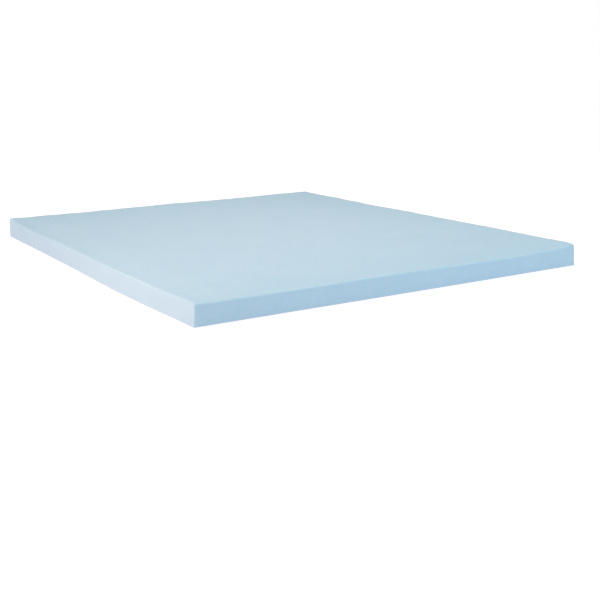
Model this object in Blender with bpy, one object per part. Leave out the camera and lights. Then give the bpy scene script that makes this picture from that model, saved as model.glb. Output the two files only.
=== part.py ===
# A one-piece foam topper for a very large bed, lying flat.
# It is a single slab cut from soft foam, so its sides lean a little, its rim is
# rounded and uneven, and its corners have not all risen to the same height.
# +X runs across the bed, +Y along it, +Z up. The origin is under the middle.

from collections import namedtuple
from math import cos, pi, sin

import bmesh
import bpy

INCH = 0.0254
WIDTH = 72 * INCH
LENGTH = 84 * INCH
THICKNESS = 3.5 * INCH

CELLS_ACROSS = 40
CELLS_ALONG = 36
CELLS_UP = 3

SIDE_FADE = 0.30    # how far in from a side its bow still shifts the foam
BELLY = 0.0010      # how far each side swells at half height
ROUNDING_STEPS = 4  # faces across each rounded edge
FLAT = 0.01         # radians, under which neighbouring underside faces are one

# The sides by the corner they start from, walking along +X or +Y.
# rim and foot are the radii of the upper and lower edge.
Side = namedtuple("Side", "name axis sign rim foot")
SIDES = (
    Side("front", "x", -1, rim=0.0120, foot=0.0020),
    Side("back", "x", +1, rim=0.0110, foot=0.0020),
    Side("left", "y", -1, rim=0.0100, foot=0.0020),
    Side("right", "y", +1, rim=0.0110, foot=0.0020),
)

# The corners: how far the foot and the rim stand off a true block along X and Y,
# how much higher the foam has risen there, and the radius of the upright edge.
Corner = namedtuple("Corner", "x y foot_x foot_y rim_x rim_y rise radius")
CORNERS = (
    Corner(-1, -1, foot_x=-0.003, foot_y=0.004, rim_x=0.000, rim_y=0.002, rise=-0.0005, radius=0.0060),
    Corner(+1, -1, foot_x=0.002, foot_y=-0.006, rim_x=-0.0065, rim_y=-0.004, rise=0.0100, radius=0.0090),
    Corner(-1, +1, foot_x=0.000, foot_y=-0.004, rim_x=0.003, rim_y=-0.003, rise=0.0050, radius=0.0045),
    Corner(+1, +1, foot_x=-0.004, foot_y=0.005, rim_x=-0.006, rim_y=0.005, rise=0.0055, radius=0.0060),
)

# Where a side bows out: its middle, measured from the side's first corner, how far
# it reaches each way, and how far out it goes at the foot and at the rim.
Bow = namedtuple("Bow", "side at reach foot rim")
BOWS = (
    Bow("left", at=0.55, reach=0.75, foot=0.013, rim=0.007),
    Bow("left", at=1.00, reach=0.90, foot=0.005, rim=0.005),
    Bow("front", at=1.05, reach=0.80, foot=0.003, rim=0.001),
    Bow("right", at=1.30, reach=0.80, foot=0.004, rim=0.002),
    Bow("back", at=0.70, reach=0.65, foot=0.004, rim=0.003),
)

# Where the rim stands higher, or lower where rise is negative, and how far in from
# the side that is felt. The first three are the corners, which stand a little proud.
Rise = namedtuple("Rise", "side at reach inwards rise")
RISES = (
    Rise("left", at=0.00, reach=0.14, inwards=0.14, rise=0.0080),
    Rise("right", at=0.00, reach=0.16, inwards=0.16, rise=0.0060),
    Rise("back", at=0.00, reach=0.12, inwards=0.12, rise=0.0060),
    Rise("front", at=1.00, reach=2.40, inwards=0.16, rise=-0.0060),
    Rise("front", at=0.12, reach=0.26, inwards=0.10, rise=-0.0034),
    Rise("front", at=0.36, reach=0.34, inwards=0.12, rise=-0.0030),
    Rise("front", at=0.72, reach=0.62, inwards=0.32, rise=-0.0050),
    Rise("front", at=1.17, reach=0.12, inwards=0.10, rise=-0.0035),
    Rise("front", at=1.38, reach=0.60, inwards=0.35, rise=-0.0110),
    Rise("front", at=1.44, reach=0.18, inwards=0.10, rise=-0.0030),
    Rise("front", at=1.62, reach=0.22, inwards=0.20, rise=-0.0030),
    Rise("front", at=1.76, reach=0.16, inwards=0.07, rise=-0.0060),
    Rise("left", at=0.70, reach=2.60, inwards=0.16, rise=-0.0095),
    Rise("left", at=0.11, reach=0.12, inwards=0.10, rise=0.0020),
    Rise("left", at=0.32, reach=0.22, inwards=0.20, rise=-0.0010),
    Rise("left", at=0.50, reach=0.24, inwards=0.16, rise=0.0030),
    Rise("left", at=0.95, reach=0.85, inwards=0.16, rise=-0.0015),
    Rise("left", at=1.55, reach=0.34, inwards=0.16, rise=-0.0035),
    Rise("left", at=1.78, reach=0.36, inwards=0.20, rise=-0.0090),
    Rise("back", at=0.35, reach=0.18, inwards=0.14, rise=-0.0020),
    Rise("back", at=0.60, reach=0.40, inwards=0.20, rise=-0.0018),
    Rise("back", at=1.30, reach=0.40, inwards=0.25, rise=-0.0020),
    Rise("right", at=0.08, reach=0.09, inwards=0.08, rise=0.0025),
    Rise("right", at=0.95, reach=0.30, inwards=0.20, rise=-0.0015),
    Rise("right", at=1.48, reach=0.42, inwards=0.20, rise=-0.0040),
    Rise("right", at=1.95, reach=0.20, inwards=0.14, rise=-0.0025),
)

# Broad, shallow swells of the upper face, away from the rim.
Swell = namedtuple("Swell", "x y reach rise")
SWELLS = (
    Swell(-0.40, -0.55, reach=0.45, rise=0.0020),
    Swell(0.35, -0.30, reach=0.50, rise=-0.0020),
    Swell(-0.25, 0.45, reach=0.50, rise=-0.0015),
    Swell(0.45, 0.60, reach=0.40, rise=0.0020),
)

FOAM_BLUE = (0.40, 0.52, 0.61, 1.0)
FOAM_ROUGHNESS = 0.85


def lobe(distance, reach):
    """A soft bump: 1 at its middle and 0 from reach outwards."""
    return 0.5 + 0.5 * cos(pi * min(1.0, abs(distance) / reach))


def blend(low, high, share):
    return low + (high - low) * share


def place_on(side, x, y):
    """How far a point lies along a side from its first corner, and how far in from it."""
    if side.axis == "x":
        return x + WIDTH / 2, LENGTH / 2 - side.sign * y
    return y + LENGTH / 2, WIDTH / 2 - side.sign * x


def corner_shift(x, y, height):
    """How the four corners move a point of the block, each by its share."""
    shift_x = shift_y = rise = 0.0
    for corner in CORNERS:
        share = (0.5 + corner.x * x / WIDTH) * (0.5 + corner.y * y / LENGTH)
        shift_x += share * blend(corner.foot_x, corner.rim_x, height)
        shift_y += share * blend(corner.foot_y, corner.rim_y, height)
        rise += share * corner.rise
    return shift_x, shift_y, rise


def side_shift(side, x, y, height):
    """How far out a side pushes a point, and how much its rim lifts it."""
    along, inwards = place_on(side, x, y)
    out = BELLY * sin(pi * height)
    lift = 0.0
    for bow in BOWS:
        if bow.side == side.name:
            out += lobe(along - bow.at, bow.reach) * blend(bow.foot, bow.rim, height)
    for row in RISES:
        if row.side == side.name:
            lift += lobe(along - row.at, row.reach) * lobe(inwards, row.inwards) * row.rise
    return out * lobe(inwards, SIDE_FADE), lift


def swell_height(x, y):
    return sum(lobe(((x - s.x) ** 2 + (y - s.y) ** 2) ** 0.5, s.reach) * s.rise for s in SWELLS)


def settled(point):
    """Where a point of the true block lies on the real slab. The underside stays flat."""
    x, y, z = point
    height = z / THICKNESS
    shift_x, shift_y, rise = corner_shift(x, y, height)
    rise += swell_height(x, y)
    for side in SIDES:
        out, lift = side_shift(side, x, y, height)
        if side.axis == "x":
            shift_y += side.sign * out
        else:
            shift_x += side.sign * out
        rise += lift
    return x + shift_x, y + shift_y, z + rise * height


def true_block(bm):
    """The block as cut, from one cube with its edges divided into cells."""
    bmesh.ops.create_cube(bm, size=1.0)
    bmesh.ops.translate(bm, verts=bm.verts, vec=(0.0, 0.0, 0.5))
    bmesh.ops.scale(bm, verts=bm.verts, vec=(WIDTH, LENGTH, THICKNESS))
    for axis, cells in enumerate((CELLS_ACROSS, CELLS_ALONG, CELLS_UP)):
        edges = [e for e in bm.edges if abs(e.verts[0].co[axis] - e.verts[1].co[axis]) > 1e-6]
        bmesh.ops.subdivide_edges(bm, edges=edges, cuts=cells - 1, use_grid_fill=True)


def edge_radius(edge):
    """The radius that an edge of the true block is rounded to, or 0 away from its twelve edges."""
    middle = (edge.verts[0].co + edge.verts[1].co) / 2
    across = abs(abs(middle.x) - WIDTH / 2) < 1e-5
    along = abs(abs(middle.y) - LENGTH / 2) < 1e-5
    top = abs(middle.z - THICKNESS) < 1e-5
    bottom = abs(middle.z) < 1e-5
    if across and along:
        return next(c.radius for c in CORNERS if c.x * middle.x > 0 and c.y * middle.y > 0)
    if (across or along) and (top or bottom):
        axis, place = ("y", middle.x) if across else ("x", middle.y)
        side = next(s for s in SIDES if s.axis == axis and s.sign * place > 0)
        return side.rim if top else side.foot
    return 0.0


def mark_roundings(bm):
    """Weighs each edge to be rounded by its share of the largest radius, which is returned."""
    weights = bm.edges.layers.float.new("bevel_weight_edge")
    radii = {edge: edge_radius(edge) for edge in bm.edges}
    largest = max(radii.values())
    for edge, radius in radii.items():
        edge[weights] = radius / largest
    return largest


def join_underside(bm):
    """Makes the flat underside one face."""
    faces = [f for f in bm.faces if f.normal.z < -0.999 and abs(f.calc_center_median().z) < 1e-6]
    inner = [e for e in bm.edges if all(f in faces for f in e.link_faces)]
    verts = [v for v in bm.verts if all(e in inner for e in v.link_edges)]
    bmesh.ops.dissolve_limit(bm, angle_limit=FLAT, use_dissolve_boundaries=False, verts=verts, edges=inner)


def foam_material():
    material = bpy.data.materials.new("foam_blue")
    material.use_nodes = True
    shader = material.node_tree.nodes["Principled BSDF"]
    shader.inputs["Base Color"].default_value = FOAM_BLUE
    shader.inputs["Roughness"].default_value = FOAM_ROUGHNESS
    shader.inputs["Metallic"].default_value = 0.0
    return material


def rounded(slab, radius):
    """Rounds the marked edges and returns the finished mesh."""
    bevel = slab.modifiers.new("rounded edges", "BEVEL")
    bevel.limit_method = "WEIGHT"
    bevel.width = radius
    bevel.segments = ROUNDING_STEPS
    bevel.harden_normals = False
    depsgraph = bpy.context.evaluated_depsgraph_get()
    mesh = bpy.data.meshes.new_from_object(slab.evaluated_get(depsgraph))
    slab.modifiers.clear()
    return mesh


def centred(mesh):
    """Moves the mesh so that the origin is at the middle of its box's underside."""
    bm = bmesh.new()
    bm.from_mesh(mesh)
    low = [min(v.co[axis] for v in bm.verts) for axis in range(3)]
    high = [max(v.co[axis] for v in bm.verts) for axis in range(3)]
    middle = ((low[0] + high[0]) / 2, (low[1] + high[1]) / 2, low[2])
    bmesh.ops.translate(bm, verts=bm.verts, vec=[-place for place in middle])
    bm.to_mesh(mesh)
    bm.free()


def foam_slab():
    bm = bmesh.new()
    true_block(bm)
    largest = mark_roundings(bm)
    join_underside(bm)
    for vert in bm.verts:
        vert.co = settled(vert.co)
    mesh = bpy.data.meshes.new("foam_slab")
    bm.to_mesh(mesh)
    bm.free()
    slab = bpy.data.objects.new("foam_slab", mesh)
    bpy.context.scene.collection.objects.link(slab)
    slab.data = rounded(slab, largest)
    centred(slab.data)
    slab.data.materials.clear()
    slab.data.materials.append(foam_material())
    slab.data.shade_smooth()
    slab.data.set_sharp_from_angle(angle=0.6)
    return slab


def main():
    for leftover in list(bpy.data.objects):
        bpy.data.objects.remove(leftover)
    foam_slab()


main()
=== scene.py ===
import math

import bmesh
import bpy
from mathutils import Matrix, Vector, noise
from mathutils.bvhtree import BVHTree


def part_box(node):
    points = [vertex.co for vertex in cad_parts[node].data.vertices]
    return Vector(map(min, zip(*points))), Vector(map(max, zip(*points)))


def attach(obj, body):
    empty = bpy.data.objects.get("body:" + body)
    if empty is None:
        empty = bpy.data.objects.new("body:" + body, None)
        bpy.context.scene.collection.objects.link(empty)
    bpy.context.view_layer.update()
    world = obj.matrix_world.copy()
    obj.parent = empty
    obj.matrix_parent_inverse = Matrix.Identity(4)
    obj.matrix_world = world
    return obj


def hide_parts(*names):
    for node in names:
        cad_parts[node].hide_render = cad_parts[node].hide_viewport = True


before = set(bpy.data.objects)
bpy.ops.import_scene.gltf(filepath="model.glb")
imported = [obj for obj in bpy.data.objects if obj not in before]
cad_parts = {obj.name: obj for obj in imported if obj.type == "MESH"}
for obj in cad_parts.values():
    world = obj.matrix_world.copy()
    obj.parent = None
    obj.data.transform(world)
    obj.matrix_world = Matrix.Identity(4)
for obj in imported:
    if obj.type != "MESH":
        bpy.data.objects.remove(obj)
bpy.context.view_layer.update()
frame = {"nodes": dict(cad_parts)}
print("frame loaded:", ", ".join(frame["nodes"]))


def clamp(value, low, high):
    return max(low, min(high, value))


def fade(distance, reach):
    # 1 at distance 0, falling softly to 0 at reach
    share = clamp(distance / reach, 0.0, 1.0)
    return 1.0 - share * share * (3.0 - 2.0 * share)


def setSocket(tree, socket, value):
    # links another node's socket, or sets a value
    if isinstance(value, bpy.types.NodeSocket):
        tree.links.new(value, socket)
    else:
        socket.default_value = value


def addNode(tree, kind, inputs=None, **settings):
    node = tree.nodes.new(kind)
    for name, value in settings.items():
        setattr(node, name, value)
    for name, value in (inputs or {}).items():
        setSocket(tree, node.inputs[name], value)
    return node


def mixColours(tree, share, low, high):
    mix = addNode(tree, "ShaderNodeMix", data_type="RGBA")
    sockets = {socket.identifier: socket for socket in mix.inputs}
    setSocket(tree, sockets["Factor_Float"], share)
    setSocket(tree, sockets["A_Color"], low)
    setSocket(tree, sockets["B_Color"], high)
    return next(socket for socket in mix.outputs if socket.identifier == "Result_Color")


def addObject(name, mesh, material):
    piece = bpy.data.objects.new(name, mesh)
    bpy.context.scene.collection.objects.link(piece)
    mesh.materials.clear()
    mesh.materials.append(material)
    return piece


touching = 1e-5                 # metres; two places nearer than this are the same one

slabShape = {
    "faceSize": 0.0112,         # side of one small face of the upper side
    "stepsUp": 10,              # faces up each side, between its roundings
    "roundingSteps": 6,         # faces across each rounded edge
    "rimRadius": {"front": 0.009, "back": 0.011, "left": 0.010, "right": 0.011},
    "footRadius": 0.0020,
    "uprightRadius": {"near": 0.006, "right": 0.009, "left": 0.0045, "far": 0.006},
    "readShares": (0.25, 0.5, 0.75),  # where a side of the solid is read, as shares of its height
    "readInset": 0.028,         # the solid is read no nearer its edges than this
    "pulledBand": 0.070,        # how far in from an edge the blade pulls the foam
    "sawnReach": 0.009,         # how far in from a side its saw lines fade out
}

# how uneven the cut faces are: height in metres, and waves per metre
cutMarks = {
    "swell": (0.0006, 6.0),     # all over, broad
    "ripple": (0.0003, 24.0),   # all over, fine
    "rim": (0.0014, 17.0),      # only near the edges, where the foam is pulled by the blade
    "blade": (0.0005, 46.0),    # lines up the sides, left by the saw
    "bladeUp": 4.0,             # waves per metre along those lines
    "footFade": 0.012,          # all of it fades out towards the foot, below this height
}


def edgeSide(middle, half):
    # the side of the block whose rim has its middle here
    if abs(abs(middle.y) - half.y) < touching:
        return "front" if middle.y < 0 else "back"
    return "left" if middle.x < 0 else "right"


def edgeCorner(middle):
    # the corner that an upright edge stands at
    if middle.y < 0:
        return "near" if middle.x < 0 else "right"
    return "left" if middle.x < 0 else "far"


def edgeRadius(edge, size):
    middle = (edge.verts[0].co + edge.verts[1].co) / 2
    if abs(middle.z - size.z / 2) < touching:
        return slabShape["uprightRadius"][edgeCorner(middle)]
    if middle.z < size.z / 2:
        return slabShape["footRadius"]
    return slabShape["rimRadius"][edgeSide(middle, size / 2)]


def roundedBlock(size):
    # the block as cut, standing on z = 0, with its twelve edges rounded
    bm = bmesh.new()
    bmesh.ops.create_cube(bm, size=1.0)
    bmesh.ops.translate(bm, verts=bm.verts, vec=(0.0, 0.0, 0.5))
    bmesh.ops.scale(bm, verts=bm.verts, vec=size)
    weights = bm.edges.layers.float.new("bevel_weight_edge")
    radii = {edge: edgeRadius(edge, size) for edge in bm.edges}
    largest = max(radii.values())
    for edge, radius in radii.items():
        edge[weights] = radius / largest
    mesh = bpy.data.meshes.new("block")
    bm.to_mesh(mesh)
    bm.free()
    block = bpy.data.objects.new("block", mesh)
    bpy.context.scene.collection.objects.link(block)
    bevel = block.modifiers.new("roundings", "BEVEL")
    bevel.limit_method = "WEIGHT"
    bevel.width = largest
    bevel.segments = slabShape["roundingSteps"]
    finished = bmesh.new()
    finished.from_object(block, bpy.context.evaluated_depsgraph_get())
    bpy.data.objects.remove(block)
    bpy.data.meshes.remove(mesh)
    return finished


def cutIntoFaces(bm, size):
    # long faces become many small ones of about the same size
    faceSize = slabShape["faceSize"]
    steps = (round(size.x / faceSize), round(size.y / faceSize), slabShape["stepsUp"])

    def span(edge, axis):
        return abs(edge.verts[0].co[axis] - edge.verts[1].co[axis])

    for axis, count in enumerate(steps):
        across = [edge for edge in bm.edges if span(edge, axis) > size[axis] / 2]
        bmesh.ops.subdivide_edges(bm, edges=across, cuts=count - 1, use_grid_fill=True)


def solidSurface(nodeName):
    # the solid's surface, to be read with rays
    copy = bmesh.new()
    copy.from_mesh(frame["nodes"][nodeName].data)
    bmesh.ops.remove_doubles(copy, verts=copy.verts, dist=touching)
    tree = BVHTree.FromBMesh(copy)
    copy.free()
    return tree


def parabola(shares, values, share):
    # the value at a share of the height, on the parabola through three values
    total = 0.0
    for here, value in zip(shares, values):
        others = [other for other in shares if other != here]
        total += value * math.prod((share - other) / (here - other) for other in others)
    return total


def readTop(surface, x, y):
    return surface.ray_cast(Vector((x, y, 1.0)), Vector((0, 0, -1)))[0].z


def readSide(surface, axis, sign, along, high):
    # where one side of the solid stands at three shares of its height there
    start = Vector()
    start[axis] = sign * (high[axis] - 2 * slabShape["readInset"])
    start[1 - axis] = along
    height = readTop(surface, start.x, start.y)
    start[axis] = 2 * sign * high[axis]
    inwards = Vector()
    inwards[axis] = -sign
    places = []
    for share in slabShape["readShares"]:
        start.z = share * height
        places.append(surface.ray_cast(start, inwards)[0][axis])
    return Vector(places)


def fitToSolid(bm, surface, low, high):
    # moves each point of the true block to where the solid has it; near the block's
    # edges, where the solid is rounded, its faces are carried on straight
    size = high - low
    inset = slabShape["readInset"]
    seen = {}

    def carryOn(read, along, half):
        inner = clamp(along, inset - half, half - inset)
        return read(inner) if inner == along else 2 * read(inner) - read(2 * inner - along)

    def side(axis, sign, along, share):
        # where the side is, on one axis, at a place along it and a share of its height
        def read(at):
            return readSide(surface, axis, sign, at, high)

        key = (axis, sign, round(along, 4))
        if key not in seen:
            seen[key] = carryOn(read, along, size[1 - axis] / 2)
        return parabola(slabShape["readShares"], seen[key], share)

    def place(x, y, share):
        left, right = side(0, -1, y, share), side(0, +1, y, share)
        front, back = side(1, -1, x, share), side(1, +1, x, share)
        shareAcross, shareAlong = x / size.x + 0.5, y / size.y + 0.5
        return left + shareAcross * (right - left), front + shareAlong * (back - front)

    def top(x, y):
        def read(atX, atY):
            return readTop(surface, *place(atX, atY, 1.0))

        def readRow(atY):
            return carryOn(lambda atX: read(atX, atY), x, size.x / 2)

        key = ("top", round(x, 4), round(y, 4))
        if key not in seen:
            seen[key] = carryOn(readRow, y, size.y / 2)
        return seen[key]

    for vert in bm.verts:
        x, y, z = vert.co
        share = z / size.z
        vert.co = (*place(x, y, share), share * top(x, y))


def markEdges(bm, size):
    # how far each point of the true block is from an edge, in metres, and how much
    # it lies on a side
    edgeDistance = bm.verts.layers.float.new("edgeDistance")
    sawn = bm.verts.layers.float.new("sawn")
    for vert in bm.verts:
        x, y, z = vert.co
        inX, inY = size.x / 2 - abs(x), size.y / 2 - abs(y)
        nearest, second = sorted((inX, inY, min(z, size.z - z)))[:2]
        vert[edgeDistance] = math.hypot(nearest, second)
        vert[sawn] = fade(min(inX, inY), slabShape["sawnReach"])


def makeUneven(bm):
    # moves each point in or out a little, by noise; none of it at the foot
    bm.normal_update()
    edgeDistance = bm.verts.layers.float["edgeDistance"]
    sawn = bm.verts.layers.float["sawn"]
    moves = {}
    for vert in bm.verts:
        place = vert.co
        out = 0.0
        pulled = fade(vert[edgeDistance], slabShape["pulledBand"])
        for name, share in (("swell", 1.0), ("ripple", 1.0), ("rim", pulled)):
            height, waves = cutMarks[name]
            out += share * height * noise.noise(place * waves)
        height, waves = cutMarks["blade"]
        along = Vector((place.x * waves, place.y * waves, place.z * cutMarks["bladeUp"]))
        out += vert[sawn] * height * noise.noise(along)
        moves[vert] = vert.normal * out * (1.0 - fade(place.z, cutMarks["footFade"]))
    for vert, move in moves.items():
        vert.co += move


def makeSlab(material):
    low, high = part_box("foam_slab")
    surface = solidSurface("foam_slab")
    bm = roundedBlock(high - low)
    cutIntoFaces(bm, high - low)
    markEdges(bm, high - low)
    fitToSolid(bm, surface, low, high)
    offBy = max(surface.find_nearest(vert.co)[3] for vert in bm.verts)
    print("slab fitted, at most", round(offBy * 1000, 2), "mm off the solid")
    makeUneven(bm)
    bmesh.ops.recalc_face_normals(bm, faces=bm.faces)
    mesh = bpy.data.meshes.new("foamSlab")
    bm.to_mesh(mesh)
    print("slab made:", len(bm.faces), "faces")
    bm.free()
    mesh.shade_smooth()
    return addObject("foamSlab", mesh, material)


foamLook = {
    "colour": (0.430, 0.540, 0.658, 1.0),
    "deeper": (0.415, 0.528, 0.650, 1.0),   # in its deeper patches
    "patchSize": 0.14,
    "patchNoise": (0.35, 0.65), # the noise levels between which a patch fades in
    # a darker blue: where the mottling goes, and the painted shade in the middle of each pore
    "poreColour": (0.333, 0.467, 0.600, 1.0),
    "poreSize": 0.0014,
    "poreWidth": (0.10, 0.55),  # where a pore's middle ends and its wall is full, in a cell of 1
    "poreShadeShare": 0.30,          # how far a pore's middle is darkened towards the darker colour above, as painted shade
    "poreDepth": 0.00035,
    "mottleSize": 0.018,
    "mottleNoise": (0.30, 0.70),
    "mottleShare": 0.25,        # how far the mottling goes towards the darker colour that also paints the pores' shade
    "grainSize": 0.0035,
    "grainDepth": 0.0004,
    # a paler blue: the painted highlight along every edge
    "edgeHighlightColour": (0.503, 0.600, 0.708, 1.0),
    "edgeHighlightWidth": 0.012,         # how far in from an edge the painted highlight makes the foam paler
    "edgeHighlightWander": 0.010,        # and how much that width wanders
    "edgeHighlightShare": 0.35,
    "lineSize": 0.009,          # the saw's lines on the sides: their width,
    "lineSquash": 0.06,         # and that width as a share of their length
    "lineDepth": 0.0004,
    "smooth": 0.66,             # roughness of the cell walls
    "dull": 0.84,               # roughness in the pores
    "gloss": 0.0,               # dry open cells have none
    "scatter": 0.15,
    "scatterDepth": 0.006,
    "scatterColour": (0.8, 1.0, 1.1),
}


def foamMaterial():
    material = bpy.data.materials.new("blueFoam")
    material.use_nodes = True
    tree = material.node_tree
    shader = tree.nodes["Principled BSDF"]
    place = addNode(tree, "ShaderNodeTexCoord").outputs["Object"]

    def attribute(name):
        return addNode(tree, "ShaderNodeAttribute", attribute_name=name).outputs["Fac"]

    def noiseAt(size, detail=2.0, vector=place):
        inputs = {"Vector": vector, "Scale": 1 / size, "Detail": detail}
        return addNode(tree, "ShaderNodeTexNoise", inputs).outputs["Fac"]

    def between(value, low, high, toLow=0.0, toHigh=1.0, curve="LINEAR"):
        # goes from toLow to toHigh while the value goes from low to high
        inputs = {"Value": value, "From Min": low, "From Max": high, "To Min": toLow, "To Max": toHigh}
        node = addNode(tree, "ShaderNodeMapRange", inputs, interpolation_type=curve)
        return node.outputs["Result"]

    def combine(operation, first, second):
        inputs = {0: first, 1: second}
        return addNode(tree, "ShaderNodeMath", inputs, operation=operation).outputs[0]

    def relief(height, depth, normal=None):
        inputs = {"Height": height, "Distance": depth}
        if normal:
            inputs["Normal"] = normal
        return addNode(tree, "ShaderNodeBump", inputs).outputs["Normal"]

    # open cells: 0 in the middle of a pore, 1 on the walls between pores
    cellInputs = {"Vector": place, "Scale": 1 / foamLook["poreSize"]}
    cells = addNode(tree, "ShaderNodeTexVoronoi", cellInputs).outputs["Distance"]
    walls = between(cells, *foamLook["poreWidth"])
    grain = noiseAt(foamLook["grainSize"], 3.0)
    mottle = noiseAt(foamLook["mottleSize"], 3.0)
    patches = noiseAt(foamLook["patchSize"], 2.0)

    # colour: patches, mottling, painted shade in the pores, then a painted highlight that makes the
    # edges paler
    patched = between(patches, *foamLook["patchNoise"])
    mottled = between(mottle, *foamLook["mottleNoise"], foamLook["mottleShare"], 0.0)
    # painted shade: the middle of each pore is made darker, as if shaded in its hollow
    poreShade = between(walls, 0.0, 1.0, foamLook["poreShadeShare"], 0.0)
    # painted highlight: near every edge the foam is made paler, as if lit there
    halfWander = foamLook["edgeHighlightWander"] / 2
    wander = between(mottle, *foamLook["mottleNoise"], -halfWander, halfWander)
    fromEdge = combine("ADD", attribute("edgeDistance"), wander)
    paintedEdgeHighlight = between(fromEdge, 0.0, foamLook["edgeHighlightWidth"], foamLook["edgeHighlightShare"], 0.0, "SMOOTHSTEP")
    colour = mixColours(tree, patched, foamLook["deeper"], foamLook["colour"])
    colour = mixColours(tree, mottled, colour, foamLook["poreColour"])
    colour = mixColours(tree, poreShade, colour, foamLook["poreColour"])
    colour = mixColours(tree, paintedEdgeHighlight, colour, foamLook["edgeHighlightColour"])
    tree.links.new(colour, shader.inputs["Base Color"])

    roughness = between(walls, 0.0, 1.0, foamLook["dull"], foamLook["smooth"])
    tree.links.new(roughness, shader.inputs["Roughness"])

    # relief: the saw's lines on the sides, then the grain, then the pores
    stretch = {"Vector": place, "Scale": (1.0, 1.0, foamLook["lineSquash"])}
    stretched = addNode(tree, "ShaderNodeMapping", stretch).outputs["Vector"]
    lines = combine("MULTIPLY", noiseAt(foamLook["lineSize"], 2.0, stretched), attribute("sawn"))
    normal = relief(lines, foamLook["lineDepth"])
    normal = relief(grain, foamLook["grainDepth"], normal)
    normal = relief(walls, foamLook["poreDepth"], normal)
    tree.links.new(normal, shader.inputs["Normal"])

    shader.inputs["Specular IOR Level"].default_value = foamLook["gloss"]
    shader.inputs["Subsurface Weight"].default_value = foamLook["scatter"]
    shader.inputs["Subsurface Radius"].default_value = foamLook["scatterColour"]
    shader.inputs["Subsurface Scale"].default_value = foamLook["scatterDepth"]
    return material


slab = makeSlab(foamMaterial())
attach(slab, "root")
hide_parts("foam_slab")
print("slab dressed")


floorLook = {
    "size": 60.0,
    "gap": 0.0003,              # below the slab
    "colour": (0.60, 0.594, 0.594, 1.0),
    "roughness": 0.7,
    "gloss": 0.0,
    # its own light, which keeps its shadows faint and its far parts white
    "glow": (0.58, 0.485, 0.505, 1.0),
}


def floorMaterial():
    material = bpy.data.materials.new("paleFloor")
    material.use_nodes = True
    tree = material.node_tree
    shader = tree.nodes["Principled BSDF"]
    shader.inputs["Base Color"].default_value = floorLook["colour"]
    shader.inputs["Roughness"].default_value = floorLook["roughness"]
    shader.inputs["Specular IOR Level"].default_value = floorLook["gloss"]
    shader.inputs["Emission Color"].default_value = floorLook["glow"]
    shader.inputs["Emission Strength"].default_value = 1.0
    return material


def makeFloor():
    bm = bmesh.new()
    bmesh.ops.create_grid(bm, x_segments=1, y_segments=1, size=floorLook["size"] / 2)
    bmesh.ops.translate(bm, verts=bm.verts, vec=(0.0, 0.0, -floorLook["gap"]))
    mesh = bpy.data.meshes.new("floor")
    bm.to_mesh(mesh)
    bm.free()
    return addObject("floor", mesh, floorMaterial())


makeFloor()
print("floor laid")


# the glow is broad and far off, lamps are square sheets of light near the slab
studioLight = {
    "room": (0.590, 0.806, 0.777),  # even light from all round
    "backdrop": 1.0,                # what is seen behind the floor
    "glows": {
        "left": {"from": (-1.0, 0.0, 0.15), "degreesWide": 40,
                 "colour": (1.0, 0.654, 0.508), "strength": 1.94},
    },
    "lamps": {
        "above": {"place": (0.0, 0.0, 2.6), "faces": (0.0, 0.0, 0.05), "side": 1.5,
                  "colour": (1.0, 0.60, 0.526), "power": 34.4},
        "front": {"place": (0.6, -3.2, 1.4), "faces": (0.3, -1.0, 0.05), "side": 1.6,
                  "colour": (0.45, 0.80, 1.0), "power": 17.4},
        "corner": {"place": (-1.3, -0.9, 1.8), "faces": (-0.7, -0.9, 0.05), "side": 0.3,
                   "colour": (1.0, 0.80, 0.59), "power": 8.1},
        "beside": {"place": (-2.2, -0.6, 0.35), "faces": (-0.9, -0.5, 0.05), "side": 0.6,
                   "colour": (1.0, 0.69, 0.57), "power": 4.2},
    },
}


def lightRoom():
    world = bpy.data.worlds.new("room")
    bpy.context.scene.world = world
    world.use_nodes = True
    tree = world.node_tree
    seen = addNode(tree, "ShaderNodeLightPath").outputs["Is Camera Ray"]
    backdrop = (studioLight["backdrop"],) * 3
    colour = mixColours(tree, seen, (*studioLight["room"], 1.0), (*backdrop, 1.0))
    tree.links.new(colour, tree.nodes["Background"].inputs["Color"])


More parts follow.
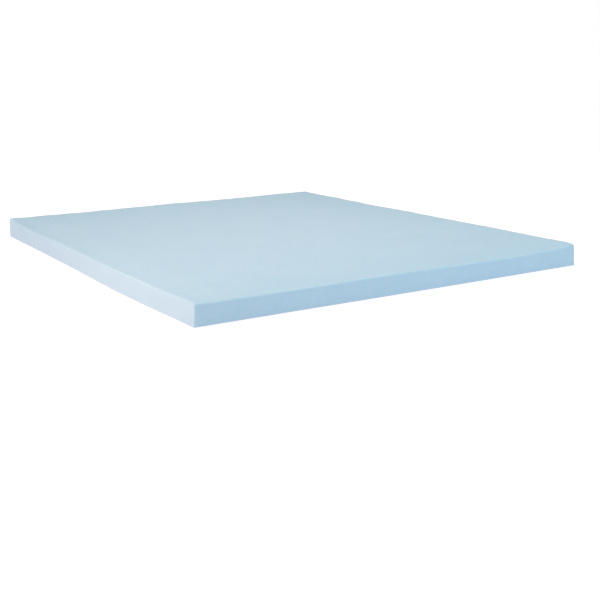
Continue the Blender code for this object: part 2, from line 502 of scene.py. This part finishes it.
def addLight(name, light, place, faces, look):
    light.color = look["colour"]
    lamp = bpy.data.objects.new(name, light)
    bpy.context.scene.collection.objects.link(lamp)
    lamp.location = place
    lamp.visible_camera = False
    lamp.rotation_euler = (Vector(place) - Vector(faces)).to_track_quat("Z", "Y").to_euler()


def addGlow(name, look):
    light = bpy.data.lights.new(name, "SUN")
    light.angle = math.radians(look["degreesWide"])
    light.energy = look["strength"]
    addLight(name, light, look["from"], (0, 0, 0), look)


def addLamp(name, look):
    light = bpy.data.lights.new(name, "AREA")
    light.shape = "SQUARE"
    light.size = look["side"]
    light.energy = look["power"]
    addLight(name, light, look["place"], look["faces"], look)


lightRoom()
for name, look in studioLight["glows"].items():
    addGlow(name, look)
for name, look in studioLight["lamps"].items():
    addLamp(name, look)
bpy.context.scene.view_settings.view_transform = "Standard"
print("lights set")


# the photo's view, as a camera on a circle round a point beside the near corner
cameraPlace = {
    "azimuth": -32.423,
    "elevation": 13.891,
    "roll": -0.427,
    "distance": 3.6437,
    "aim": (-0.40307, -0.93213, 0.0),
    "focalPixels": 970.7,
    "imagePixels": 600,
    "sensorWidth": 36.0,            # millimetres
    "seesTo": 100.0,
}


def makeCamera():
    turn = math.radians(cameraPlace["azimuth"])
    rise = math.radians(cameraPlace["elevation"])
    roll = math.radians(cameraPlace["roll"])
    level = math.cos(rise)
    back = Vector((math.sin(turn) * level, -math.cos(turn) * level, math.sin(rise)))
    right = Vector((0, 0, 1)).cross(back).normalized()
    up = back.cross(right)
    rolledRight = right * math.cos(roll) + up * math.sin(roll)
    rolledUp = up * math.cos(roll) - right * math.sin(roll)
    data = bpy.data.cameras.new("camera")
    data.sensor_width = cameraPlace["sensorWidth"]
    data.lens = cameraPlace["focalPixels"] * data.sensor_width / cameraPlace["imagePixels"]
    data.clip_end = cameraPlace["seesTo"]
    camera = bpy.data.objects.new("camera", data)
    bpy.context.scene.collection.objects.link(camera)
    place = Matrix((rolledRight, rolledUp, back)).transposed().to_4x4()
    place.translation = Vector(cameraPlace["aim"]) + back * cameraPlace["distance"]
    camera.matrix_world = place
    bpy.context.scene.camera = camera


makeCamera()
print("camera set")
